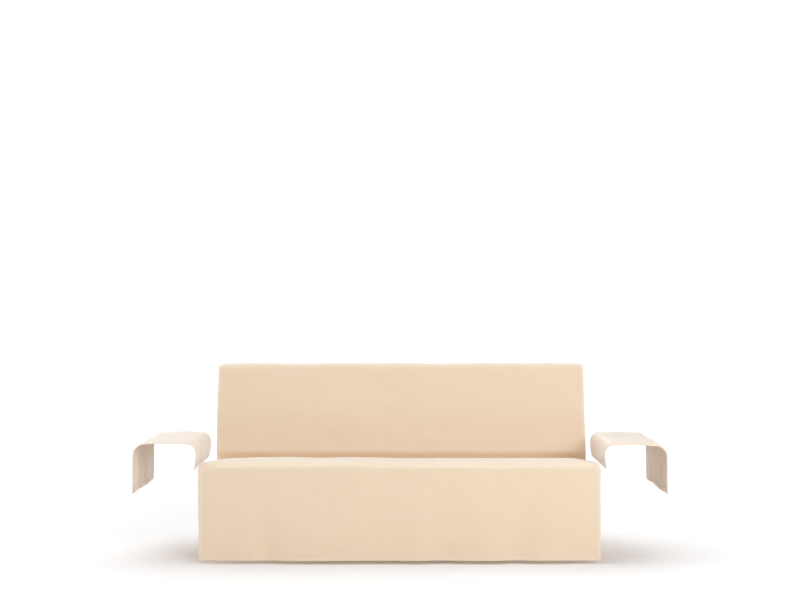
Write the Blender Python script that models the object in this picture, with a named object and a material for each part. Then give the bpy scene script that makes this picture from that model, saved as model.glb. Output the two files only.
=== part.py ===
"""A three-piece slipcover, in the shape in which it lies when it is fitted.

The main panel is one long hemmed sheet: a drop at the front, the seat stretch, a crevice,
the back stretch, the top, and a tail behind. Two hemmed arm covers lie beside it, each with
an inner flap towards the seat and an outer flap. All three are open below and at both ends.

Metres, +X to the viewer's right, +Y to the rear, +Z up. Depths are measured from the front
drop and heights from the floor. The origin is under the middle of the main panel's top.
"""

from collections import namedtuple
from math import atan2, ceil, pi, radians, tan

import bpy
import numpy as np

# Cloth
CLOTH = 0.002
HEM_THICKNESS = 0.003
HEM_WIDTH = 0.018
HEM_SLOPE = 0.004

# Main panel
PANEL_WIDTH = 1.720
PANEL_COLUMN = 0.048
PANEL_ROW = 0.062
EDGE_ROLL = 0.140
TOP_HEIGHT = 0.828
TOP_DEPTH = 0.870

# Arm covers
ARM_COLUMN = 0.060
ARM_ROW = 0.040
FRONT_DIP_REACH = 0.070

# The largest turn from one row of the mesh to the next
BEND_STEP = radians(17)

# One row for each corner of the main panel's side line, from the front hem to the rear hem.
# sink: how far the side edges lie below the middle. shift: how far the cloth lies to the right.
PanelBend = namedtuple("PanelBend", "place depth height radius sink shift")
PANEL_LINE = (
    PanelBend("front hem", 0.000, 0.015, 0.000, 0.000, -0.001),
    PanelBend("middle of the drop", 0.000, 0.240, 0.000, 0.003, -0.002),
    PanelBend("front edge of the seat", 0.000, 0.412, 0.018, 0.002, -0.003),
    PanelBend("shoulder of the seat", 0.060, 0.4275, 0.080, 0.003, -0.003),
    PanelBend("crown of the seat", 0.200, 0.4355, 0.900, 0.019, -0.002),
    PanelBend("rear of the seat", 0.610, 0.398, 0.080, 0.012, 0.005),
    PanelBend("crevice", 0.688, 0.368, 0.010, 0.006, 0.007),
    PanelBend("foot of the back", 0.661, 0.421, 0.031, 0.008, 0.006),
    PanelBend("belly of the back", 0.709, 0.600, 1.200, 0.008, 0.003),
    PanelBend("front of the top", 0.787, TOP_HEIGHT + 0.001, 0.045, 0.006, 0.005),
    PanelBend("rear of the top", 0.953, TOP_HEIGHT - 0.001, 0.045, 0.006, 0.005),
    PanelBend("rear hem", 0.957, 0.380, 0.000, 0.000, 0.003),
)

# One row for each soft swell or trough of the main panel. x and along are its middle, along
# being the way over the cloth from the front hem. lean: metres to the right for each metre up.
Swell = namedtuple("Swell", "place x along half_width half_length rise lean")
PANEL_SWELLS = (
    Swell("trough, left of the drop", -0.562, 0.00, 0.090, 0.36, -0.012, -0.15),
    Swell("trough, right of the middle", 0.180, 0.00, 0.100, 0.38, -0.009, 0.05),
    Swell("trough, right of the drop", 0.505, 0.00, 0.100, 0.42, -0.014, 0.18),
    Swell("ridge beside the middle", 0.080, 0.00, 0.080, 0.36, 0.006, 0.00),
    Swell("ridge between the troughs", 0.375, 0.00, 0.110, 0.40, 0.006, 0.00),
    Swell("full left half of the drop", -0.420, 0.10, 0.360, 0.36, 0.009, 0.00),
    Swell("left lower corner", -0.870, 0.00, 0.340, 0.44, -0.009, 0.00),
    Swell("right lower corner", 0.950, 0.00, 0.360, 0.44, -0.016, 0.00),
    Swell("crease at the front edge", -0.250, 0.38, 0.190, 0.16, 0.011, 0.00),
    Swell("full left half of the seat", -0.500, 0.60, 0.330, 0.36, 0.0045, 0.00),
    Swell("full beside the middle", -0.190, 0.60, 0.220, 0.36, 0.004, 0.00),
    Swell("hollow beside the middle", 0.230, 0.62, 0.330, 0.34, -0.003, 0.00),
    Swell("dip of the top, left", -0.470, 1.60, 0.200, 0.20, -0.004, 0.00),
    Swell("dip of the top, middle", 0.190, 1.60, 0.170, 0.20, -0.004, 0.00),
    Swell("rise of the top, right", 0.740, 1.60, 0.160, 0.20, 0.002, 0.00),
    Swell("left side of the back", -0.870, 1.25, 0.420, 0.46, -0.012, 0.00),
    Swell("right side of the back", 0.870, 1.25, 0.280, 0.46, -0.008, 0.00),
    Swell("fold beside the middle of the back", -0.260, 1.31, 0.190, 0.17, 0.011, 0.00),
    Swell("belly of the back, left", -0.400, 1.30, 0.500, 0.26, 0.004, 0.00),
    Swell("belly of the back, right", 0.460, 1.30, 0.420, 0.26, 0.003, 0.00),
    Swell("fold of the tail, left", -0.540, 2.14, 0.110, 0.42, 0.011, 0.07),
    Swell("trough of the tail, left", -0.350, 2.14, 0.100, 0.34, -0.008, 0.05),
    Swell("fold of the tail, middle", 0.050, 2.14, 0.130, 0.38, 0.009, -0.04),
    Swell("trough of the tail, right", 0.310, 2.14, 0.110, 0.40, -0.008, -0.03),
    Swell("fold of the tail, right", 0.600, 2.14, 0.120, 0.44, 0.012, -0.08),
)

# One row for each corner of an arm cover's front line, from the outer hem to the inner hem.
# out: distance from the middle of the cover.
ArmBend = namedtuple("ArmBend", "place out height radius")
ARM_LINE = (
    ArmBend("outer hem", 1.144, 0.300, 0.000),
    ArmBend("outer edge", 1.142, 0.511, 0.048),
    ArmBend("crown", 1.015, 0.520, 0.800),
    ArmBend("inner edge", 0.872, 0.5155, 0.042),
    ArmBend("inner bulge", 0.870, 0.455, 0.150),
    ArmBend("inner hem", 0.879, 0.402, 0.000),
)

# One row for each arm cover. side: -1 at the viewer's left. The front and rear edges' depths
# are given at the outer and the inner hem. dip: how far the front edge sinks. tuck: how far the
# inner flap lies further out than the line, in front and at the rear.
ArmCover = namedtuple(
    "ArmCover",
    "name side front_outer front_inner rear_outer rear_inner dip tuck_front tuck_rear swells",
)
ARM_COVERS = (
    ArmCover(
        "arm_cover_left", -1, 0.004, 0.003, 0.640, 0.636, 0.001, 0.0, 0.0065,
        (
            Swell("hollow of the top", 0.340, 0.35, 0.240, 0.13, -0.003, 0.00),
            Swell("trough in the inner flap", 0.180, 0.53, 0.100, 0.09, -0.003, 0.30),
            Swell("wave of the outer flap", 0.170, 0.00, 0.110, 0.17, 0.006, 0.10),
            Swell("hollow of the outer flap", 0.430, 0.00, 0.120, 0.18, -0.005, -0.10),
        ),
    ),
    ArmCover(
        "arm_cover_right", 1, 0.003, 0.052, 0.636, 0.655, 0.008, 0.0075, 0.0135,
        (
            Swell("hollow of the top", 0.300, 0.33, 0.260, 0.13, -0.003, 0.00),
            Swell("hollow at the rear of the top", 0.650, 0.36, 0.200, 0.14, -0.0035, 0.00),
            Swell("trough in the inner flap", 0.420, 0.53, 0.110, 0.09, -0.003, -0.25),
            Swell("hollow of the outer flap", 0.200, 0.00, 0.120, 0.18, -0.005, 0.10),
            Swell("wave of the outer flap", 0.460, 0.00, 0.110, 0.16, 0.006, -0.10),
        ),
    ),
)

# Linear colour
CREAM = (0.80, 0.625, 0.45)
CLOTH_ROUGHNESS = 0.9


def bell(t):
    """1 at t = 0, falling smoothly to 0 at t = -1 and t = 1, and 0 beyond."""
    return np.where(np.abs(t) < 1, np.cos(np.clip(t, -1, 1) * pi / 2) ** 2, 0.0)


def bent_line(corners, radii):
    """A line that rounds its corners, as stretches of (start length, end length, place at).

    A bend of radius r that turns by the angle a leaves its corner by r * tan(a / 2) each way.
    The lengths at which the line passes its corners come second.
    """
    corners = [np.array(corner) for corner in corners]
    stretches = []
    passes = [0.0]
    here = corners[0]
    length = 0.0
    for before, corner, after, radius in zip(corners, corners[1:], corners[2:], radii[1:]):
        into = (corner - before) / np.linalg.norm(corner - before)
        out = (after - corner) / np.linalg.norm(after - corner)
        turn = atan2(into[0] * out[1] - into[1] * out[0], into @ out)
        reach = radius * tan(abs(turn) / 2)
        bend_start = corner - into * reach
        run = np.linalg.norm(bend_start - here)
        stretches.append((length, length + run, straight(here, into)))
        length += run
        bend = radius * abs(turn)
        if bend > 0:
            stretches.append((length, length + bend, arc(bend_start, into, radius, turn)))
        passes.append(length + bend / 2)
        length += bend
        here = corner + out * reach
    run = np.linalg.norm(corners[-1] - here)
    stretches.append((length, length + run, straight(here, (corners[-1] - here) / run)))
    passes.append(length + run)
    return stretches, passes


def straight(start, direction):
    """Points and directions along a straight run, by the length from its start."""

    def at(length):
        return start + direction * length[:, None], np.tile(direction, (len(length), 1))

    return at


def arc(start, direction, radius, turn):
    """Points and directions along a round bend, by the length from its start."""
    side = np.sign(turn)
    left = np.array((-direction[1], direction[0]))
    centre = start + left * side * radius

    def at(length):
        angle = (length / radius)[:, None]
        points = centre + radius * (direction * np.sin(angle) - left * side * np.cos(angle))
        return points, direction * np.cos(angle) + left * side * np.sin(angle)

    return at


def stations(stretches, longest):
    """Lengths along the line where the mesh has a row: closer in the bends and at the hems."""
    marks = [0.0, HEM_WIDTH, HEM_WIDTH + HEM_SLOPE]
    total = stretches[-1][1]
    for start, end, at in stretches:
        ends = at(np.array((0.0, end - start)))[1]
        turn = np.arccos(np.clip(ends[0] @ ends[1], -1, 1))
        first = max(start, HEM_WIDTH + HEM_SLOPE)
        last = min(end, total - HEM_WIDTH - HEM_SLOPE)
        steps = max(ceil(turn / BEND_STEP), ceil((last - first) / longest))
        marks.extend(np.linspace(first, last, steps + 1)[1:])
    marks.extend((total - HEM_WIDTH, total))
    return np.array(marks)


def across(width, longest):
    """Distances from one side edge to the other where the mesh has a column."""
    inner = HEM_WIDTH + HEM_SLOPE
    middle = np.linspace(inner, width - inner, ceil((width - 2 * inner) / longest) + 1)
    return np.concatenate(((0.0, HEM_WIDTH), middle, (width - HEM_WIDTH, width)))


def follow(stretches, lengths):
    """Points and outward normals of the line at these lengths."""
    points = np.empty((len(lengths), 2))
    directions = np.empty((len(lengths), 2))
    for start, end, at in stretches:
        on = (lengths >= start) & (lengths <= end)
        points[on], directions[on] = at(lengths[on] - start)
    return points, np.stack((-directions[:, 1], directions[:, 0]), axis=1)


def swelling(swells, x, along):
    """The height of all swells and troughs together, at each x and length along the cloth."""
    height = np.zeros(np.broadcast(x, along).shape)
    for swell in swells:
        middle = swell.x + swell.lean * (along - swell.along)
        wide = bell((x - middle) / swell.half_width)
        height += swell.rise * wide * bell((along - swell.along) / swell.half_length)
    return height


def sheet(name, points, hem, parent):
    """A closed sheet: the grid of points is its outer face, and Solidify gives it its thickness.

    The faces look outwards where the rows run up the front and the columns run to the right.
    """
    rows, columns = points.shape[:2]
    corner = (np.arange(rows - 1)[:, None] * columns + np.arange(columns - 1)).reshape(-1, 1)
    faces = corner + np.array((0, 1, columns + 1, columns))
    mesh = bpy.data.meshes.new(name)
    mesh.from_pydata(points.reshape(-1, 3).tolist(), [], faces.tolist())
    mesh.shade_smooth()
    mesh.materials.append(fabric(name))
    obj = bpy.data.objects.new(name, mesh)
    bpy.context.scene.collection.objects.link(obj)
    obj.parent = parent
    obj.vertex_groups.new(name="hem").add(np.flatnonzero(hem).tolist(), 1.0, "REPLACE")
    thickness = obj.modifiers.new("thickness", "SOLIDIFY")
    thickness.thickness = HEM_THICKNESS
    thickness.offset = -1
    thickness.use_even_offset = True
    thickness.vertex_group = "hem"
    thickness.thickness_vertex_group = CLOTH / HEM_THICKNESS
    return obj


def fabric(name):
    """Matt woven cloth in cream."""
    material = bpy.data.materials.new(name + "_cloth")
    material.use_nodes = True
    shader = material.node_tree.nodes["Principled BSDF"]
    shader.inputs["Base Color"].default_value = (*CREAM, 1)
    shader.inputs["Roughness"].default_value = CLOTH_ROUGHNESS
    shader.inputs["Metallic"].default_value = 0
    return material


def in_hem(along, total):
    """True where a row or column lies in the folded hem at either end."""
    inside = HEM_WIDTH + HEM_SLOPE / 2
    return (along < inside) | (along > total - inside)


def main_panel(parent):
    """The long panel: its side line, moved along the normal by the sinking edges and swells."""
    corners = [(bend.depth, bend.height) for bend in PANEL_LINE]
    stretches, passes = bent_line(corners, [bend.radius for bend in PANEL_LINE])
    along = stations(stretches, PANEL_ROW)
    line, normal = follow(stretches, along)
    from_edge = across(PANEL_WIDTH, PANEL_COLUMN)
    x = from_edge - PANEL_WIDTH / 2

    sink = np.interp(along, passes, [bend.sink for bend in PANEL_LINE])
    shift = np.interp(along, passes, [bend.shift for bend in PANEL_LINE])
    near = np.clip(1 - np.minimum(from_edge, PANEL_WIDTH - from_edge) / EDGE_ROLL, 0, 1) ** 2
    rise = swelling(PANEL_SWELLS, x[None, :], along[:, None]) - sink[:, None] * near

    points = np.empty((len(along), len(x), 3))
    points[:, :, 0] = x[None, :] + shift[:, None]
    points[:, :, 1] = line[:, 0:1] + normal[:, 0:1] * rise
    points[:, :, 2] = line[:, 1:2] + normal[:, 1:2] * rise
    hem = in_hem(along, along[-1])[:, None] | in_hem(from_edge, PANEL_WIDTH)[None, :]
    return sheet("main_panel", points, hem, parent)


def arm_cover(cover, parent):
    """An arm cover: its front line carried to the rear, with slanting front and rear edges."""
    corners = [(-bend.out, bend.height) for bend in ARM_LINE]
    stretches, passes = bent_line(corners, [bend.radius for bend in ARM_LINE])
    along = stations(stretches, ARM_ROW)
    line, normal = follow(stretches, along)
    share = along / along[-1]
    front = cover.front_outer + (cover.front_inner - cover.front_outer) * share**3
    rear = cover.rear_outer + (cover.rear_inner - cover.rear_outer) * share
    length = cover.rear_outer - cover.front_outer
    from_front = across(length, ARM_COLUMN)
    depth = front[:, None] + (rear - front)[:, None] * (from_front / length)[None, :]

    near = np.clip(1 - from_front / FRONT_DIP_REACH, 0, 1) ** 2
    dip = cover.dip * near[None, :] * np.clip(normal[:, 1:2], 0, 1)
    rise = swelling(cover.swells, depth, along[:, None]) - dip

    # the tuck comes up smoothly between the crown and the inner edge
    crown, inner_edge = passes[2:4]
    part = np.clip((along - crown) / (inner_edge - crown), 0, 1)
    tuck = np.interp(from_front, (0, length), (cover.tuck_front, cover.tuck_rear))
    tucked = (part**2 * (3 - 2 * part))[:, None] * tuck[None, :]

    points = np.empty((len(along), len(from_front), 3))
    points[:, :, 0] = (line[:, 0:1] + normal[:, 0:1] * rise - tucked) * -cover.side
    points[:, :, 1] = depth
    points[:, :, 2] = line[:, 1:2] + normal[:, 1:2] * rise
    hem = in_hem(along, along[-1])[:, None] | in_hem(from_front, length)[None, :]
    if cover.side < 0:
        points = points[:, ::-1]
        hem = hem[:, ::-1]
    return sheet(cover.name, points, hem, parent)


def build():
    """Clears the scene and makes the three pieces, under one empty that sets the origin."""
    for obj in list(bpy.data.objects):
        bpy.data.objects.remove(obj)
    cover = bpy.data.objects.new("slipcover", None)
    cover.location = (0, -TOP_DEPTH, CLOTH - TOP_HEIGHT)
    bpy.context.scene.collection.objects.link(cover)
    main_panel(cover)
    for arm in ARM_COVERS:
        arm_cover(arm, cover)


build()
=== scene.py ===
import math

import bpy
import numpy as np
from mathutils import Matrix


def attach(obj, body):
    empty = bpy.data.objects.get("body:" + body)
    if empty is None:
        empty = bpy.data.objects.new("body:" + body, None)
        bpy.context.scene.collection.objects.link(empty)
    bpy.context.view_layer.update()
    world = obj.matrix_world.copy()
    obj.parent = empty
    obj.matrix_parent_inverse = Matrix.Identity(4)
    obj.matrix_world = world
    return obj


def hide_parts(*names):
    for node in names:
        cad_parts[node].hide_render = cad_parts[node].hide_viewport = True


# A slipcover in cream cotton: a long panel over back, seat and front, and a cover over each arm.
# Metres, +X to the viewer's right, +Y to the rear, +Z up. In the tables below depths are measured
# from the front drop and heights from the floor; origin is where the frame's zero lies in them.

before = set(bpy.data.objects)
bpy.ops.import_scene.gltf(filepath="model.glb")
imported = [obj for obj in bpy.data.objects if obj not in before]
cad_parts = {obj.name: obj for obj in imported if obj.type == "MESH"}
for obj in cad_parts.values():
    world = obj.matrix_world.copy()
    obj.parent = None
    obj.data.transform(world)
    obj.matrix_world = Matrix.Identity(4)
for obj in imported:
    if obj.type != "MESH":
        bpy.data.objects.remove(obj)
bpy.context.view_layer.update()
origin = {"depth": 0.870, "height": 0.826}
print("frame:", ", ".join(sorted(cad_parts)))


# ---- camera, light and floor

camera = {"toFront": 7.42, "height": 1.129, "lens": 78.2, "sensor": 36.0, "seesTo": 200.0}
room = {
    "floorSize": 400.0,
    "floorColour": (0.88, 0.848, 0.822),
    "floorRoughness": 0.8,
    "floorSpecular": 0.1,
    "lightColour": (0.96, 1.0, 1.04),    # a cool white, against which the cream stands warm
    "skyLight": 0.215,                   # the studio all round, as a light
    "glowLight": 1.43,                   # a lit wall above the rear, on top of that
    "glowWay": (-0.35, 0.47, 0.81),
    "glowFrom": (0.10, 0.85),            # cosines between which it comes up
    "skySeen": 1.15,                     # what the camera sees of it
}
suns = (
    # elevation, turn to the right of the front and softness are in degrees
    {"name": "frontSun", "energy": 0.98, "elevation": 23.0, "toRight": 22.0, "softness": 30.0},
)
softboxes = (
    {
        "name": "rightSoftbox", "at": (2.6, -3.2, 0.7), "aim": (0.3, -0.6, -0.35),
        "size": (1.2, 1.2), "watts": 22.0,
    },
)


def makeCamera():
    data = bpy.data.cameras.new("camera")
    data.lens = camera["lens"]
    data.sensor_width = camera["sensor"]
    data.clip_end = camera["seesTo"]
    eye = bpy.data.objects.new("camera", data)
    eye.location = (0.0, -camera["toFront"] - origin["depth"], camera["height"] - origin["height"])
    eye.rotation_euler = (math.pi / 2, 0.0, 0.0)
    bpy.context.scene.collection.objects.link(eye)
    bpy.context.scene.camera = eye


def makeSoftbox(box):
    # an area light that faces its aim point: its -Z axis follows the line from place to aim
    data = bpy.data.lights.new(box["name"], "AREA")
    data.shape = "RECTANGLE"
    data.size, data.size_y = box["size"]
    data.energy = box["watts"]
    data.color = room["lightColour"]
    lamp = bpy.data.objects.new(box["name"], data)
    at = np.array(box["at"])
    x, y, z = np.array(box["aim"]) - at
    lamp.location = at
    lamp.rotation_euler = (math.atan2(math.hypot(x, y), -z), 0.0, math.atan2(y, x) - math.pi / 2)
    lamp.visible_camera = False
    bpy.context.scene.collection.objects.link(lamp)


def makeSun(sun):
    # A wide, soft sun: the same everywhere, so the floor is evenly white out to the horizon
    data = bpy.data.lights.new(sun["name"], "SUN")
    data.energy = sun["energy"]
    data.color = room["lightColour"]
    data.angle = math.radians(sun["softness"])
    lamp = bpy.data.objects.new(sun["name"], data)
    lamp.rotation_euler = (math.radians(90 - sun["elevation"]), 0.0, math.radians(sun["toRight"]))
    bpy.context.scene.collection.objects.link(lamp)


def makeSky():
    # White all round. As a light it comes up towards the rear with the smooth step of the cosine
    # to the glow's way, so tops that are seen along their surface shine as against a lit wall.
    world = bpy.data.worlds.new("sky")
    world.use_nodes = True
    nodes, links = world.node_tree.nodes, world.node_tree.links
    background = nodes["Background"]
    background.inputs["Color"].default_value = (*room["lightColour"], 1.0)
    towards = nodes.new("ShaderNodeVectorMath")
    towards.operation = "DOT_PRODUCT"
    towards.inputs[1].default_value = room["glowWay"]
    links.new(nodes.new("ShaderNodeTexCoord").outputs["Generated"], towards.inputs[0])
    glow = nodes.new("ShaderNodeMapRange")
    glow.interpolation_type = "SMOOTHSTEP"
    glow.inputs["From Min"].default_value, glow.inputs["From Max"].default_value = room["glowFrom"]
    glow.inputs["To Min"].default_value = room["skyLight"]
    glow.inputs["To Max"].default_value = room["skyLight"] + room["glowLight"]
    links.new(towards.outputs["Value"], glow.inputs["Value"])
    path = nodes.new("ShaderNodeLightPath")
    level = nodes.new("ShaderNodeMapRange")
    links.new(path.outputs["Is Camera Ray"], level.inputs["Value"])
    links.new(glow.outputs["Result"], level.inputs["To Min"])
    level.inputs["To Max"].default_value = room["skySeen"]
    links.new(level.outputs["Result"], background.inputs["Strength"])
    bpy.context.scene.world = world


def makeFloor():
    half = room["floorSize"] / 2
    level = -origin["height"]
    mesh = bpy.data.meshes.new("floor")
    corners = [(-half, -half, level), (half, -half, level), (half, half, level), (-half, half, level)]
    mesh.from_pydata(corners, [], [(0, 1, 2, 3)])
    material = bpy.data.materials.new("paleFloor")
    material.use_nodes = True
    shader = material.node_tree.nodes["Principled BSDF"]
    shader.inputs["Base Color"].default_value = (*room["floorColour"], 1.0)
    shader.inputs["Roughness"].default_value = room["floorRoughness"]
    shader.inputs["Specular IOR Level"].default_value = room["floorSpecular"]
    mesh.materials.append(material)
    floor = bpy.data.objects.new("floor", mesh)
    bpy.context.scene.collection.objects.link(floor)


bpy.context.scene.view_settings.view_transform = "Standard"
makeCamera()
makeSky()
makeFloor()
for sun in suns:
    makeSun(sun)
for box in softboxes:
    makeSoftbox(box)
print("camera, light and floor made")


# ---- cloth, hems and thread

cloth = {
    "thickness": 0.0011,
    "hemThickness": 0.0026,
    "hemWidth": 0.018,
    "hemStep": 0.0008,     # over this the hem drops to the single cloth
    "edgeRound": 0.0013,
    "edgeLeast": 0.02,     # the least share of the thickness that the round edge keeps, squared
    "puff": 0.0007,
    "puffRamp": 0.004,     # the puff comes up over this from the edge
    "stitchIn": 0.0160,    # the stitch line's distance from the edge
    "stitchDimple": 0.0007,
    "stitchPull": 0.0020,
    "bendStep": 0.13,      # radians from one row of the mesh to the next in a bend
    "bendMargin": 0.004,   # the close rows start this far before the bend
    "probe": 0.0005,       # half a millimetre, for slopes
    # distances from the edge at which every sheet has a row
    "hemMarks": (
        0.0, 0.0002, 0.0006, 0.0013, 0.004, 0.009, 0.013, 0.0148, 0.016, 0.0172, 0.0178, 0.0186, 0.022,
    ),
}

thread = {
    "stitch": 0.0034,
    "gap": 0.0007,
    "radius": 0.00034,
    "sides": 5,
    "lift": 0.00010,
    # the four rings of a stitch: place in stitch lengths, then size and height in radii
    "ringAt": (-0.5, -0.3, 0.3, 0.5),
    "ringSize": (0.15, 1.0, 1.0, 0.15),
    "ringHeight": (-0.9, 0.2, 0.2, -0.9),
    "dark": (0.74, 0.57, 0.41),
    "light": (0.84, 0.68, 0.52),
    "twistScale": 900.0,
    "twistWobble": 0.5,
    "twistDepth": 0.00008,
    "roughness": 0.6,
}


def bell(t):
    # cos^2 of a quarter turn: 1 in the middle, 0 from one half width on
    return np.where(np.abs(t) < 1, np.cos(np.clip(t, -1, 1) * math.pi / 2) ** 2, 0.0)


def smooth(t):
    # 3t^2 - 2t^3 between 0 and 1
    t = np.clip(t, 0, 1)
    return t * t * (3 - 2 * t)


def roundedLine(rows):
    # A line through the rows' corners, each rounded to its radius. Returns its pieces as
    # (start length, end length, point, direction, turn per metre) and the length at each corner.
    corners = [np.array(row[1:3]) for row in rows]
    pieces, passes, length, here = [], [0.0], 0.0, corners[0]
    for i in range(1, len(rows) - 1):
        into = corners[i] - corners[i - 1]
        out = corners[i + 1] - corners[i]
        into /= np.linalg.norm(into)
        out /= np.linalg.norm(out)
        turn = math.atan2(into[0] * out[1] - into[1] * out[0], into @ out)
        radius = rows[i][3]
        reach = radius * math.tan(abs(turn) / 2)
        bendStart = corners[i] - into * reach
        run = np.linalg.norm(bendStart - here)
        pieces.append((length, length + run, here, into, 0.0))
        bend = radius * abs(turn)
        if bend > 0:
            pieces.append((length + run, length + run + bend, bendStart, into, turn / bend))
        passes.append(length + run + bend / 2)
        length += run + bend
        here = corners[i] + out * reach
    run = np.linalg.norm(corners[-1] - here)
    pieces.append((length, length + run, here, (corners[-1] - here) / run, 0.0))
    passes.append(length + run)
    return pieces, np.array(passes)


def alongLine(pieces, length):
    # Points and left-hand normals at these lengths. On a bend of k radians a metre the heading is
    # a0 + k s, and the point is start + (sin(a) - sin(a0), cos(a0) - cos(a)) / k.
    length = np.clip(length, 0.0, pieces[-1][1])
    point = np.zeros(length.shape + (2,))
    normal = np.zeros(length.shape + (2,))
    for start, end, here, heading, curl in pieces:
        on = (length >= start) & (length <= end)
        s = length[on] - start
        first = math.atan2(heading[1], heading[0])
        angle = first + curl * s
        if curl:
            move = np.stack((np.sin(angle) - math.sin(first), math.cos(first) - np.cos(angle)), -1) / curl
        else:
            move = heading * s[:, None]
        point[on] = here + move
        normal[on] = np.stack((-np.sin(angle), np.cos(angle)), -1)
    return point, normal


def spread(total, spacing):
    # Marks from 0 to total that lie spacing(s) apart: the marks at even steps of the sum of 1 / spacing
    hem = np.array(cloth["hemMarks"])
    samples = 4000
    fine = np.linspace(hem[-1], total - hem[-1], samples)
    count = np.concatenate(((0.0,), np.cumsum(np.diff(fine) / spacing(fine[:-1]))))
    steps = math.ceil(count[-1])
    middle = np.interp(np.linspace(0, count[-1], steps + 1), count, fine)
    return np.concatenate((hem[:-1], middle, total - hem[-2::-1]))


def swelling(swells, x, along):
    # The sum of rise * bell across * bell along, each swell leaning to one side as it goes up
    height = 0.0
    for _, middle, at, halfWidth, halfLength, rise, lean in swells:
        across = (x - middle - lean * (along - at)) / halfWidth
        height = height + rise * bell(across) * bell((along - at) / halfLength)
    return height


def crumples(fine, x, along):
    # Small unevenness: a sum of sine waves of drawn lengths and ways, each rising with its length,
    # in patches where two long waves are high
    draw = np.random.default_rng(fine["seed"])
    shortest, longest = fine["lengths"]
    height = 0.0
    for _ in range(fine["waves"]):
        length = draw.uniform(shortest, longest)
        way = draw.uniform(0, math.pi)
        phase = draw.uniform(0, 2 * math.pi)
        turns = (x * math.cos(way) + along * math.sin(way)) / length
        height = height + fine["rise"] * length / longest * np.sin(2 * math.pi * turns + phase)
    patches = np.sin(x * 7.1 + 1.0) * np.sin(along * 5.3 + 0.6 + 1.9 * np.sin(x * 2.3))
    return height * (0.65 + 0.5 * patches)


def ripples(waves, x, along):
    # The sum of long, very shallow sine waves: rise * sin(2 pi (x cos a + along sin a) / length + phase)
    height = 0.0
    for length, angle, rise, phase in waves:
        way = x * math.cos(angle) + along * math.sin(angle)
        height = height + rise * np.sin(2 * math.pi * way / length + phase)
    return height


def placed(points):
    # from depths and heights to the frame
    return points - np.array((0.0, origin["depth"], origin["height"]))


def sheetFrame(surface, across, along):
    # Point, way across, way along and normal of a surface, by differences over the probe
    e = cloth["probe"]
    point = surface(across, along)
    du = surface(across + e, along) - surface(across - e, along)
    dv = surface(across, along + e) - surface(across, along - e)
    du /= np.linalg.norm(du, axis=-1, keepdims=True)
    dv /= np.linalg.norm(dv, axis=-1, keepdims=True)
    normal = np.cross(du, dv)
    normal /= np.linalg.norm(normal, axis=-1, keepdims=True)
    return point, du, dv, normal


def sheetMesh(name, surface, across, along, outward):
    # A closed sheet. d is the distance to the nearest edge. The cloth is three layers thick inside
    # the hem line and one beyond it; its edge is round: half thickness = t / 2 * sqrt(1 - (1 - d / r)^2).
    width, length = across[-1], along[-1]
    u, v = np.meshgrid(across, along)
    point, _, _, normal = sheetFrame(surface, u, v)
    normal = normal * outward
    d = np.minimum(np.minimum(u, width - u), np.minimum(v, length - v))
    inHem = 1 - smooth((d - cloth["hemWidth"]) / cloth["hemStep"] + 0.5)
    thick = cloth["thickness"] + (cloth["hemThickness"] - cloth["thickness"]) * inHem
    line = np.exp(-(((d - cloth["stitchIn"]) / cloth["stitchPull"]) ** 2))
    relief = cloth["puff"] * inHem * smooth(d / cloth["puffRamp"]) - cloth["stitchDimple"] * line
    rounding = 1 - np.clip(1 - d / cloth["edgeRound"], 0, 1) ** 2
    half = thick / 2 * np.sqrt(np.clip(rounding, cloth["edgeLeast"], 1))
    middle = relief - thick / 2
    outer = point + normal * (middle + half)[..., None]
    inner = point + normal * (middle - half)[..., None]
    rows, columns = u.shape
    grid = np.arange(rows * columns).reshape(rows, columns)
    a, b, c, e = grid[:-1, :-1], grid[:-1, 1:], grid[1:, 1:], grid[1:, :-1]
    front = np.stack((a, b, c, e), -1).reshape(-1, 4)
    back = front[:, ::-1] + rows * columns
    rim = np.concatenate((grid[0, :], grid[1:, -1], grid[-1, -2::-1], grid[-2:0:-1, 0]))
    after = np.roll(rim, -1)
    side = np.stack((after, rim, rim + rows * columns, after + rows * columns), -1)
    faces = np.concatenate((front, back, side))
    if outward < 0:
        faces = faces[:, ::-1]
    mesh = bpy.data.meshes.new(name)
    points = placed(np.concatenate((outer.reshape(-1, 3), inner.reshape(-1, 3))))
    mesh.from_pydata(points, [], faces)
    flat = mesh.uv_layers.new(name="flat")
    corner = np.empty(len(mesh.loops), np.int32)
    mesh.loops.foreach_get("vertex_index", corner)
    places = np.tile(np.stack((u, v), -1).reshape(-1, 2), (2, 1))[corner]
    flat.uv.foreach_set("vector", places.astype(np.float32).ravel())
    edge = mesh.attributes.new("edge", "FLOAT", "POINT")
    edge.data.foreach_set("value", np.tile(d.ravel(), 2).astype(np.float32))
    mesh.shade_smooth()
    obj = bpy.data.objects.new(name, mesh)
    bpy.context.scene.collection.objects.link(obj)
    return obj


def hemPath(width, length):
    # Places along the four hem lines, one for each stitch, and the way that the stitch runs
    pitch = thread["stitch"] + thread["gap"]
    into = cloth["stitchIn"]
    found = []
    for lineLength, fixed, acrossWay in (
        (width, into, True),
        (width, length - into, True),
        (length, into, False),
        (length, width - into, False),
    ):
        count = int((lineLength - 2 * into) / pitch)
        spots = into + (np.arange(count) + 0.5) * (lineLength - 2 * into) / count
        other = np.full(count, fixed)
        pair = (spots, other) if acrossWay else (other, spots)
        found.append((*pair, np.full(count, acrossWay)))
    return [np.concatenate(part) for part in zip(*found)]


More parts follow.
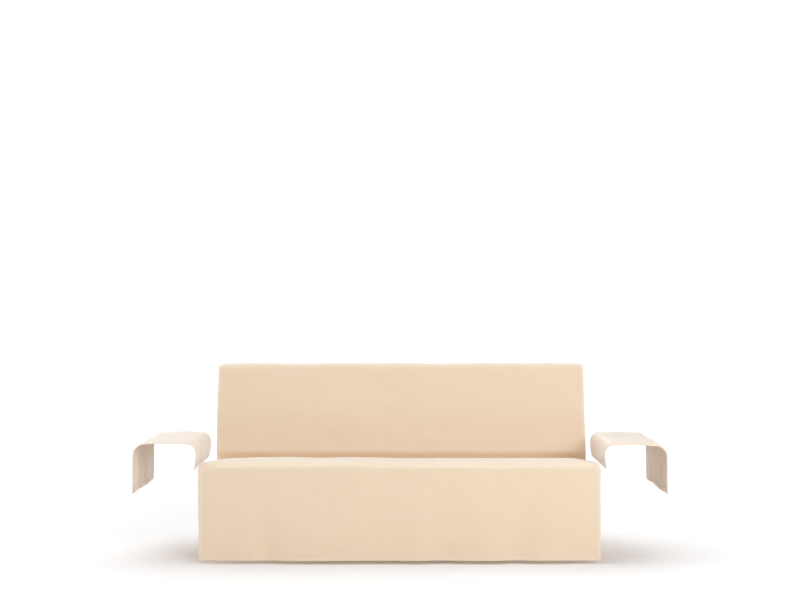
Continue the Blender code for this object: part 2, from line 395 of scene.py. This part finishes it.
def stitchMesh(name, surface, flatSize, outward, side):
    # Stitches as closed spindles, thin at both ends, where they sink into the needle holes. Each
    # ring is (size cos t across the stitch, height + size sin t away from the cloth).
    # side 1 is the outer face, -1 the inner one.
    u, v, acrossWay = hemPath(*flatSize)
    point, du, dv, normal = sheetFrame(surface, u, v)
    normal = normal * outward * side
    way = np.where(acrossWay[:, None], du, dv)
    wide = np.cross(normal, way)
    ends = np.array(thread["ringAt"]) * thread["stitch"]
    size = np.array(thread["ringSize"])[:, None] * thread["radius"]
    height = np.array(thread["ringHeight"])[:, None] * thread["radius"]
    turn = np.arange(thread["sides"]) * 2 * math.pi / thread["sides"]
    if side > 0:
        base = cloth["puff"] - cloth["stitchDimple"] + thread["lift"]
    else:
        base = cloth["hemThickness"] - cloth["puff"] + cloth["stitchDimple"] + thread["lift"]
    away = base + height + size * np.sin(turn)
    aside = size * np.cos(turn)
    ring = (
        point[:, None, None, :]
        + way[:, None, None, :] * ends[None, :, None, None]
        + normal[:, None, None, :] * away[None, :, :, None]
        + wide[:, None, None, :] * aside[None, :, :, None]
    )
    rings, sides = len(ends), thread["sides"]
    i = np.arange(rings - 1)[:, None] * sides
    j = np.arange(sides)[None, :]
    k = (j + 1) % sides
    walls = np.stack((i + j, i + sides + j, i + sides + k, i + k), -1).reshape(-1, 4)
    caps = np.array((np.arange(sides), np.arange(sides)[::-1] + (rings - 1) * sides))
    each = rings * sides
    offset = np.arange(len(u))[:, None, None] * each
    wallFaces = (walls + offset).reshape(-1, 4).tolist()
    capFaces = (caps + offset).reshape(-1, sides).tolist()
    mesh = bpy.data.meshes.new(name)
    mesh.from_pydata(placed(ring.reshape(-1, 3)), [], wallFaces + capFaces)
    mesh.shade_smooth()
    obj = bpy.data.objects.new(name, mesh)
    bpy.context.scene.collection.objects.link(obj)
    return obj


# ---- shader groups

weave = {
    "thread": 0.00075,
    "depth": 0.00018,
    "strength": 0.5,
    "slub": 0.035,         # how much the slubs change the colour's level
    "slubFine": 900.0,     # noise scale across a slub
    "slubLong": 18.0,      # and along it
}
pucker = {
    "scale": 160.0,
    "reach": 0.009,        # from the stitch line
    "fade": (-0.001, 0.0005),    # the paler hem ends between these places, seen from the hem line
    # painted shade: the darker band under the stitches is shade painted into the colour
    "paintedShadeReach": 0.0022,   # half the width of the darker line under the stitches
    "depth": 0.0012,
    "strength": 0.5,
}
tone = {
    "cream": (0.797, 0.623, 0.451),
    "pale": (0.832, 0.657, 0.489),
    "soft": 0.20,          # share of the pale cream in the clouds
    "cloudScale": 3.0,
    # the hems are paler partly by their own tone and partly by a painted highlight
    "hem": 0.9,            # and in the hems
    # how much painted shade darkens the colour on the stitch line
    "stitchPaintedShade": 0.055,
}
finish = {
    "roughness": 0.80,
    "slubRoughness": -0.06,
    "specular": 0.5,
    "sheen": 0.95,
    "sheenRoughness": 0.3,
    "sheenTint": (1.0, 1.0, 1.0, 1.0),
}


def newGroup(name, inputs, outputs):
    group = bpy.data.node_groups.new(name, "ShaderNodeTree")
    for label, kind, value in inputs:
        socket = group.interface.new_socket(label, in_out="INPUT", socket_type=kind)
        if value is not None:
            socket.default_value = value
    for label, kind in outputs:
        group.interface.new_socket(label, in_out="OUTPUT", socket_type=kind)
    return group, group.nodes.new("NodeGroupInput").outputs, group.nodes.new("NodeGroupOutput").inputs


def put(tree, kind, settings=(), **inputs):
    # adds a node, sets its fields, and links or sets its inputs by name or, after _, by number
    node = tree.nodes.new(kind)
    for field, value in settings:
        setattr(node, field, value)
    for label, value in inputs.items():
        socket = node.inputs[int(label[1:]) if label[0] == "_" else label.replace("_", " ")]
        if isinstance(value, bpy.types.NodeSocket):
            tree.links.new(value, socket)
        else:
            socket.default_value = value
    return node.outputs[0]


def sums(tree, operation, first, second=0.0, third=0.0):
    return put(tree, "ShaderNodeMath", (("operation", operation),), _0=first, _1=second, _2=third)


def weaveGroup():
    # Plain weave: height = half of sin(pi u / thread) * sin(pi v / thread), and half of the slubs,
    # which are noise drawn out along the warp and along the weft.
    group, given, out = newGroup(
        "plainWeave",
        (("Flat", "NodeSocketVector", None), ("Thread", "NodeSocketFloat", weave["thread"])),
        (("Height", "NodeSocketFloat"), ("Slub", "NodeSocketFloat")),
    )
    uv = group.nodes.new("ShaderNodeSeparateXYZ")
    group.links.new(given["Flat"], uv.inputs[0])
    waves = []
    for axis in (0, 1):
        turns = sums(group, "DIVIDE", uv.outputs[axis], given["Thread"])
        waves.append(sums(group, "SINE", sums(group, "MULTIPLY", turns, math.pi)))
    over = sums(group, "MULTIPLY", *waves)
    slubs = []
    fine, long = weave["slubFine"], weave["slubLong"]
    for stretch in ((fine, long, 1.0), (long, fine, 1.0)):
        drawn = put(
            group, "ShaderNodeVectorMath", (("operation", "MULTIPLY"),), _0=given["Flat"], _1=stretch,
        )
        slubs.append(put(group, "ShaderNodeTexNoise", (), Vector=drawn, Scale=1.0, Detail=1.0))
    slub = sums(group, "ADD", *slubs)
    group.links.new(slub, out["Slub"])
    height = sums(group, "MULTIPLY_ADD", over, 0.5, sums(group, "MULTIPLY", slub, 0.5))
    group.links.new(height, out["Height"])
    return group


def hemGroup():
    # Inside is 1 in the hem, which is three layers thick; its paler colour is partly the hem's own tone
    # and partly a painted highlight. The second mask is 1 on the stitch line, where painted shade darkens
    # the colour. Height is noise that fades away from the line, where the cloth puckers.
    group, given, out = newGroup(
        "hemPuckerAndPaintedShade",
        (("Flat", "NodeSocketVector", None), ("Edge", "NodeSocketFloat", 1.0)),
        (("Inside", "NodeSocketFloat"), ("Line", "NodeSocketFloat"), ("Height", "NodeSocketFloat")),
    )
    inside = put(
        group, "ShaderNodeMapRange", (), Value=given["Edge"],
        _1=cloth["hemWidth"] + pucker["fade"][0], _2=cloth["hemWidth"] + pucker["fade"][1], _3=1.0, _4=0.0,
    )
    group.links.new(inside, out["Inside"])
    wobble = put(group, "ShaderNodeTexNoise", (), Vector=given["Flat"], Scale=pucker["scale"], Detail=2.0)
    away = sums(group, "ABSOLUTE", sums(group, "SUBTRACT", given["Edge"], cloth["stitchIn"]))
    near = put(
        group, "ShaderNodeMapRange", (("interpolation_type", "SMOOTHSTEP"),),
        Value=away, _1=0.0, _2=pucker["reach"], _3=1.0, _4=0.0,
    )
    group.links.new(sums(group, "MULTIPLY", wobble, near), out["Height"])
    # painted shade: a darker band of colour along the stitch line
    line = put(
        group, "ShaderNodeMapRange", (("interpolation_type", "SMOOTHSTEP"),),
        Value=away, _1=0.0, _2=pucker["paintedShadeReach"], _3=1.0, _4=0.0,
    )
    group.links.new(line, out["Line"])
    return group


weaveNodes = weaveGroup()
hemNodes = hemGroup()


def clothMaterial(name):
    # Matt cotton: cream with soft clouds of a paler cream, slubs, paler hems that are partly a painted
    # highlight, painted shade along the stitch lines, a weave in the bump
    material = bpy.data.materials.new(name)
    material.use_nodes = True
    tree = material.node_tree
    shader = tree.nodes["Principled BSDF"]
    flat = tree.nodes.new("ShaderNodeUVMap")
    flat.uv_map = "flat"
    edge = tree.nodes.new("ShaderNodeAttribute")
    edge.attribute_name = "edge"
    woven = tree.nodes.new("ShaderNodeGroup")
    woven.node_tree = weaveNodes
    tree.links.new(flat.outputs[0], woven.inputs["Flat"])
    woven.inputs["Thread"].default_value = weave["thread"]
    hemmed = tree.nodes.new("ShaderNodeGroup")
    hemmed.node_tree = hemNodes
    tree.links.new(flat.outputs[0], hemmed.inputs["Flat"])
    tree.links.new(edge.outputs["Fac"], hemmed.inputs["Edge"])
    clouds = put(
        tree, "ShaderNodeTexNoise", (), Vector=flat.outputs[0], Scale=tone["cloudScale"], Detail=3.0,
    )
    soft = sums(tree, "MULTIPLY", clouds, tone["soft"])
    share = sums(tree, "MAXIMUM", soft, sums(tree, "MULTIPLY", hemmed.outputs["Inside"], tone["hem"]))
    mixed = put(
        tree, "ShaderNodeMix", (("data_type", "RGBA"),),
        _0=share, _6=(*tone["cream"], 1.0), _7=(*tone["pale"], 1.0),
    ).node.outputs[2]
    level = sums(tree, "MULTIPLY_ADD", woven.outputs["Slub"], weave["slub"], 1 - weave["slub"])
    # painted shade: the colour is darkened along the stitch line
    level = sums(tree, "MULTIPLY_ADD", hemmed.outputs["Line"], -tone["stitchPaintedShade"], level)
    shaded = put(tree, "ShaderNodeVectorMath", (("operation", "SCALE"),), _0=mixed, _3=level)
    tree.links.new(shaded, shader.inputs["Base Color"])
    slubRough = finish["slubRoughness"]
    rough = sums(tree, "MULTIPLY_ADD", woven.outputs["Slub"], slubRough, finish["roughness"])
    tree.links.new(rough, shader.inputs["Roughness"])
    puckered = put(
        tree, "ShaderNodeBump", (), Height=hemmed.outputs["Height"],
        Distance=pucker["depth"], Strength=pucker["strength"],
    )
    grain = put(
        tree, "ShaderNodeBump", (), Height=woven.outputs["Height"], Normal=puckered,
        Distance=weave["depth"], Strength=weave["strength"],
    )
    tree.links.new(grain, shader.inputs["Normal"])
    shader.inputs["Specular IOR Level"].default_value = finish["specular"]
    shader.inputs["Sheen Weight"].default_value = finish["sheen"]
    shader.inputs["Sheen Roughness"].default_value = finish["sheenRoughness"]
    shader.inputs["Sheen Tint"].default_value = finish["sheenTint"]
    return material


def threadMaterial():
    # Spun polyester thread: a fine twist read from Object coordinates
    material = bpy.data.materials.new("seamThread")
    material.use_nodes = True
    tree = material.node_tree
    shader = tree.nodes["Principled BSDF"]
    place = tree.nodes.new("ShaderNodeTexCoord").outputs["Object"]
    twist = put(
        tree, "ShaderNodeTexWave", (("bands_direction", "DIAGONAL"),),
        Vector=place, Scale=thread["twistScale"], Distortion=thread["twistWobble"],
    ).node.outputs["Fac"]
    mixed = put(
        tree, "ShaderNodeMix", (("data_type", "RGBA"),),
        _0=twist, _6=(*thread["dark"], 1.0), _7=(*thread["light"], 1.0),
    ).node.outputs[2]
    tree.links.new(mixed, shader.inputs["Base Color"])
    ridges = put(tree, "ShaderNodeBump", (), Height=twist, Distance=thread["twistDepth"])
    tree.links.new(ridges, shader.inputs["Normal"])
    shader.inputs["Roughness"].default_value = thread["roughness"]
    return material


mainCloth = clothMaterial("mainCloth")
armCloth = clothMaterial("armCloth")
seamThread = threadMaterial()
print("cloth and thread materials made")


# ---- the main panel

mainPanel = {
    "width": 1.720,
    "step": 0.0108,
    "edgeRoll": 0.140,
    # place, depth, height, radius, sink of the side edges, shift to the right
    "line": (
        ("front hem", 0.000, 0.015, 0.000, 0.000, -0.001),
        ("middle of the drop", 0.000, 0.240, 0.000, 0.003, -0.002),
        ("front edge of the seat", 0.000, 0.412, 0.018, 0.002, -0.003),
        ("shoulder of the seat", 0.060, 0.4275, 0.080, 0.003, -0.003),
        ("crown of the seat", 0.200, 0.4355, 0.900, 0.019, -0.002),
        ("rear of the seat", 0.610, 0.398, 0.080, 0.012, 0.005),
        ("crevice", 0.688, 0.368, 0.010, 0.006, 0.007),
        ("foot of the back", 0.661, 0.421, 0.031, 0.008, 0.006),
        ("belly of the back", 0.709, 0.600, 1.200, 0.008, 0.003),
        ("front of the top", 0.787, 0.829, 0.045, 0.006, 0.005),
        ("rear of the top", 0.953, 0.827, 0.045, 0.006, 0.005),
        ("rear hem", 0.957, 0.380, 0.000, 0.000, 0.003),
    ),
    # place, x, along, half width, half length, rise, lean
    "swells": (
        ("trough, left of the drop", -0.562, 0.00, 0.090, 0.36, -0.012, -0.15),
        ("trough, right of the middle", 0.180, 0.00, 0.100, 0.38, -0.009, 0.05),
        ("trough, right of the drop", 0.505, 0.00, 0.100, 0.42, -0.014, 0.18),
        ("ridge beside the middle", 0.080, 0.00, 0.080, 0.36, 0.006, 0.00),
        ("ridge between the troughs", 0.375, 0.00, 0.110, 0.40, 0.006, 0.00),
        ("full left half of the drop", -0.420, 0.10, 0.360, 0.36, 0.009, 0.00),
        ("left lower corner", -0.870, 0.00, 0.340, 0.44, -0.009, 0.00),
        ("right lower corner", 0.950, 0.00, 0.360, 0.44, -0.016, 0.00),
        ("crease at the front edge", -0.250, 0.38, 0.190, 0.16, 0.011, 0.00),
        ("full left half of the seat", -0.500, 0.60, 0.330, 0.36, 0.0045, 0.00),
        ("full beside the middle", -0.190, 0.60, 0.220, 0.36, 0.004, 0.00),
        ("hollow beside the middle", 0.230, 0.62, 0.330, 0.34, -0.003, 0.00),
        ("dip of the top, left", -0.470, 1.60, 0.200, 0.20, -0.004, 0.00),
        ("dip of the top, middle", 0.190, 1.60, 0.170, 0.20, -0.004, 0.00),
        ("rise of the top, right", 0.740, 1.60, 0.160, 0.20, 0.002, 0.00),
        ("left side of the back", -0.870, 1.25, 0.420, 0.46, -0.012, 0.00),
        ("right side of the back", 0.870, 1.25, 0.280, 0.46, -0.008, 0.00),
        ("fold beside the middle of the back", -0.260, 1.31, 0.190, 0.17, 0.011, 0.00),
        ("belly of the back, left", -0.400, 1.30, 0.500, 0.26, 0.004, 0.00),
        ("belly of the back, right", 0.460, 1.30, 0.420, 0.26, 0.003, 0.00),
        ("fold of the tail, left", -0.540, 2.14, 0.110, 0.42, 0.011, 0.07),
        ("trough of the tail, left", -0.350, 2.14, 0.100, 0.34, -0.008, 0.05),
        ("fold of the tail, middle", 0.050, 2.14, 0.130, 0.38, 0.009, -0.04),
        ("trough of the tail, right", 0.310, 2.14, 0.110, 0.40, -0.008, -0.03),
        ("fold of the tail, right", 0.600, 2.14, 0.120, 0.44, 0.012, -0.08),
    ),
    # the same for the fine creases, which the plain solids don't have
    "creases": (
        ("thin crease, right of the drop", 0.546, 0.307, 0.022, 0.090, -0.0013, -0.36),
        ("soft crease by the right side", 0.690, 0.275, 0.034, 0.095, -0.0015, -0.16),
        ("thin crease, right of the middle", 0.115, 0.303, 0.018, 0.070, -0.0009, 0.00),
        ("thin crease between the troughs", 0.414, 0.310, 0.020, 0.065, -0.0008, 0.00),
        ("soft trough of the middle", 0.034, 0.180, 0.045, 0.120, -0.0020, 0.00),
        ("soft trough beside the ridge", 0.240, 0.190, 0.045, 0.130, -0.0020, 0.00),
        ("hollow, left of the middle", -0.100, 0.195, 0.100, 0.070, -0.0014, 0.00),
        ("hollow by the left side", -0.680, 0.220, 0.070, 0.090, -0.0018, 0.00),
        ("crease above the left trough", -0.565, 0.270, 0.040, 0.120, -0.0015, 0.00),
        ("small swell, upper left", -0.363, 0.311, 0.035, 0.035, 0.0006, 0.00),
        ("small swell, lower left", -0.405, 0.162, 0.032, 0.036, 0.0006, 0.00),
        ("hollow of the back, left", -0.433, 1.390, 0.050, 0.050, -0.0008, 0.00),
        ("crease low on the back, left", -0.405, 1.290, 0.110, 0.028, -0.0008, 0.00),
        ("hollow by the middle of the back", -0.023, 1.277, 0.050, 0.032, -0.0008, 0.00),
        ("hollow of the back, right", 0.205, 1.360, 0.120, 0.070, -0.0010, 0.00),
        ("rise of the back, right", 0.420, 1.375, 0.110, 0.090, 0.0008, 0.00),
        ("hollow low on the back, right", 0.560, 1.260, 0.045, 0.050, -0.0008, 0.00),
        ("gather 1 in the crevice", -0.742, 1.050, 0.030, 0.090, -0.0016, 0.30),
        ("gather 2 in the crevice", -0.610, 1.070, 0.022, 0.060, 0.0012, -0.10),
        ("gather 3 in the crevice", -0.431, 1.060, 0.028, 0.075, -0.0014, 0.15),
        ("gather 4 in the crevice", -0.205, 1.065, 0.024, 0.060, 0.0011, 0.20),
        ("gather 5 in the crevice", -0.060, 1.055, 0.030, 0.080, -0.0013, -0.20),
        ("gather 6 in the crevice", 0.175, 1.070, 0.022, 0.055, 0.0010, 0.00),
        ("gather 7 in the crevice", 0.334, 1.060, 0.027, 0.075, -0.0015, -0.15),
        ("gather 8 in the crevice", 0.548, 1.065, 0.024, 0.060, 0.0012, 0.10),
        ("gather 9 in the crevice", 0.735, 1.050, 0.030, 0.090, -0.0016, -0.30),
        ("drag line from the left rear corner", -0.650, 0.900, 0.032, 0.160, -0.0022, 0.55),
        ("drag line from the right rear corner", 0.660, 0.890, 0.034, 0.160, -0.0022, -0.60),
        ("drag line on the seat, left", -0.300, 0.760, 0.038, 0.130, -0.0016, 0.25),
        ("drag line on the seat, right", 0.390, 0.740, 0.038, 0.140, -0.0017, -0.20),
        ("crease down the tail, left", -0.700, 1.900, 0.040, 0.200, -0.0034, 0.12),
        ("crease down the tail, middle", -0.120, 1.930, 0.042, 0.190, -0.0030, -0.10),
        ("crease down the tail, right", 0.450, 1.880, 0.040, 0.210, -0.0034, 0.08),
    ),
    "crumples": {"seed": 11, "waves": 16, "lengths": (0.045, 0.140), "rise": 0.00040},
    # length, angle, rise, phase
    "ripples": (
        (0.41, 0.3, 0.0004, 0.4),
        (0.23, 1.2, 0.0003, 2.1),
        (0.17, -0.6, 0.0002, 4.0),
    ),
}
panelPieces, panelPasses = roundedLine(mainPanel["line"])
panelLength = panelPieces[-1][1]


def panelSurface(across, along):
    # The side line carried across, moved along its normal by the swells and ripples, less the
    # sinking side edges: sink * (1 - distance from the edge / roll)^2
    point, normal = alongLine(panelPieces, along)
    x = across - mainPanel["width"] / 2
    sink = np.interp(along, panelPasses, [row[4] for row in mainPanel["line"]])
    shift = np.interp(along, panelPasses, [row[5] for row in mainPanel["line"]])
    edge = np.minimum(across, mainPanel["width"] - across)
    near = np.clip(1 - edge / mainPanel["edgeRoll"], 0, 1) ** 2
    rise = swelling(mainPanel["swells"] + mainPanel["creases"], x, along) - sink * near
    rise = rise + ripples(mainPanel["ripples"], x, along) + crumples(mainPanel["crumples"], x, along)
    moved = point + normal * rise[..., None]
    return np.stack((x + shift, moved[..., 0], moved[..., 1]), -1)


def bendSpacing(pieces, widest):
    # the spacing that gives even steps, and closer ones where the line bends
    def spacing(s):
        step = np.full(s.shape, widest)
        for start, end, _, _, curl in pieces:
            if curl:
                bent = (s > start - cloth["bendMargin"]) & (s < end + cloth["bendMargin"])
                step[bent] = np.minimum(step[bent], cloth["bendStep"] / abs(curl))
        return step

    return spacing


def finishSheet(sheet, material, node, stitches):
    sheet.data.materials.append(material)
    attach(sheet, "root")
    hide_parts(node)
    for seam in stitches:
        seam.data.materials.append(seamThread)
        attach(seam, "root")


def makeMainPanel():
    across = spread(mainPanel["width"], bendSpacing((), mainPanel["step"]))
    along = spread(panelLength, bendSpacing(panelPieces, mainPanel["step"]))
    size = (mainPanel["width"], panelLength)
    sheet = sheetMesh("mainPanelCloth", panelSurface, across, along, 1)
    stitches = [
        stitchMesh("mainPanelTopThread", panelSurface, size, 1, 1),
        stitchMesh("mainPanelUnderThread", panelSurface, size, 1, -1),
    ]
    finishSheet(sheet, mainCloth, "main_panel", stitches)


makeMainPanel()
print("main panel made:", round(mainPanel["width"], 3), "x", round(panelLength, 3), "m")


# ---- the arm covers

armCovers = {
    "step": 0.0075,
    # place, distance out from the middle (negative: the left cover), height, radius
    "line": (
        ("outer hem", -1.144, 0.300, 0.000),
        ("outer edge", -1.142, 0.511, 0.048),
        ("crown", -1.015, 0.520, 0.800),
        ("inner edge", -0.872, 0.5155, 0.042),
        ("inner bulge", -0.870, 0.455, 0.150),
        ("inner hem", -0.879, 0.402, 0.000),
    ),
    "dipReach": 0.070,
    "crumples": {"seed": 5, "waves": 14, "lengths": (0.040, 0.120), "rise": 0.00018},
    "ripples": (
        (0.29, 0.5, 0.0005, 1.1),
        (0.16, 1.4, 0.0003, 3.0),
    ),
    "covers": (
        {
            "piece": "armCoverLeftCloth", "node": "arm_cover_left", "side": -1, "dip": 0.001,
            "front": (0.004, 0.003), "rear": (0.640, 0.636), "tuck": (0.000, 0.0065),
            "swells": (
                ("hollow of the top", 0.340, 0.35, 0.240, 0.13, -0.003, 0.00),
                ("trough in the inner flap", 0.180, 0.53, 0.100, 0.09, -0.003, 0.30),
                ("wave of the outer flap", 0.170, 0.00, 0.110, 0.17, 0.006, 0.10),
                ("hollow of the outer flap", 0.430, 0.00, 0.120, 0.18, -0.005, -0.10),
            ),
            "creases": (
                ("crease over the inner edge, front", 0.115, 0.47, 0.018, 0.050, -0.0010, 0.20),
                ("crease over the inner edge, middle", 0.325, 0.48, 0.022, 0.050, -0.0009, -0.10),
                ("crease over the inner edge, rear", 0.520, 0.46, 0.018, 0.055, -0.0010, 0.15),
                ("crease over the outer edge, front", 0.220, 0.23, 0.022, 0.050, -0.0010, 0.10),
                ("crease over the outer edge, rear", 0.470, 0.22, 0.020, 0.045, -0.0009, -0.15),
            ),
        },
        {
            "piece": "armCoverRightCloth", "node": "arm_cover_right", "side": 1, "dip": 0.008,
            "front": (0.003, 0.052), "rear": (0.636, 0.655), "tuck": (0.0075, 0.0135),
            "swells": (
                ("hollow of the top", 0.300, 0.33, 0.260, 0.13, -0.003, 0.00),
                ("hollow at the rear of the top", 0.650, 0.36, 0.200, 0.14, -0.0035, 0.00),
                ("trough in the inner flap", 0.420, 0.53, 0.110, 0.09, -0.003, -0.25),
                ("hollow of the outer flap", 0.200, 0.00, 0.120, 0.18, -0.005, 0.10),
                ("wave of the outer flap", 0.460, 0.00, 0.110, 0.16, 0.006, -0.10),
            ),
            "creases": (
                ("crease over the inner edge, front", 0.150, 0.47, 0.020, 0.050, -0.0010, -0.20),
                ("crease over the inner edge, middle", 0.300, 0.46, 0.018, 0.050, -0.0009, 0.15),
                ("crease over the inner edge, rear", 0.500, 0.48, 0.020, 0.055, -0.0011, -0.10),
                ("crease over the outer edge, front", 0.130, 0.22, 0.020, 0.045, -0.0009, 0.10),
                ("crease over the outer edge, rear", 0.400, 0.23, 0.022, 0.050, -0.0010, 0.05),
            ),
        },
    ),
}
armPieces, armPasses = roundedLine(armCovers["line"])
armLength = armPieces[-1][1]


def armSurface(cover):
    # The front line carried to the rear. Its front and rear edges slant: at a share t of the way
    # from the outer to the inner hem, front = a + (b - a) t^3 and rear = c + (d - c) t. The tuck
    # moves the inner flap out, from nothing at the crown, by one value in front and one at the rear.
    a, b = cover["front"]
    c, d = cover["rear"]
    depthOfCloth = c - a

    def surface(across, along):
        point, normal = alongLine(armPieces, along)
        t = along / armLength
        front = a + (b - a) * t**3
        rear = c + (d - c) * t
        depth = front + (rear - front) * across / depthOfCloth
        near = np.clip(1 - across / armCovers["dipReach"], 0, 1) ** 2
        dip = cover["dip"] * near * np.clip(normal[..., 1], 0, 1)
        rise = swelling(cover["swells"] + cover["creases"], depth, along) - dip
        rise = rise + ripples(armCovers["ripples"], depth, along)
        rise = rise + crumples(armCovers["crumples"], depth, along)
        tucked = np.interp(across, (0, depthOfCloth), cover["tuck"])
        tucked = tucked * smooth((along - armPasses[2]) / (armPasses[3] - armPasses[2]))
        x = (point[..., 0] + normal[..., 0] * rise - tucked) * -cover["side"]
        return np.stack((x, depth, point[..., 1] + normal[..., 1] * rise), -1)

    return surface, depthOfCloth


def makeArmCover(cover):
    surface, depthOfCloth = armSurface(cover)
    across = spread(depthOfCloth, bendSpacing((), armCovers["step"]))
    along = spread(armLength, bendSpacing(armPieces, armCovers["step"]))
    size = (depthOfCloth, armLength)
    outward = cover["side"]
    sheet = sheetMesh(cover["piece"], surface, across, along, outward)
    stitches = [
        stitchMesh(cover["piece"].replace("Cloth", "TopThread"), surface, size, outward, 1),
        stitchMesh(cover["piece"].replace("Cloth", "UnderThread"), surface, size, outward, -1),
    ]
    finishSheet(sheet, armCloth, cover["node"], stitches)
    print(cover["piece"], "made:", round(depthOfCloth, 3), "x", round(armLength, 3), "m")


for cover in armCovers["covers"]:
    makeArmCover(cover)
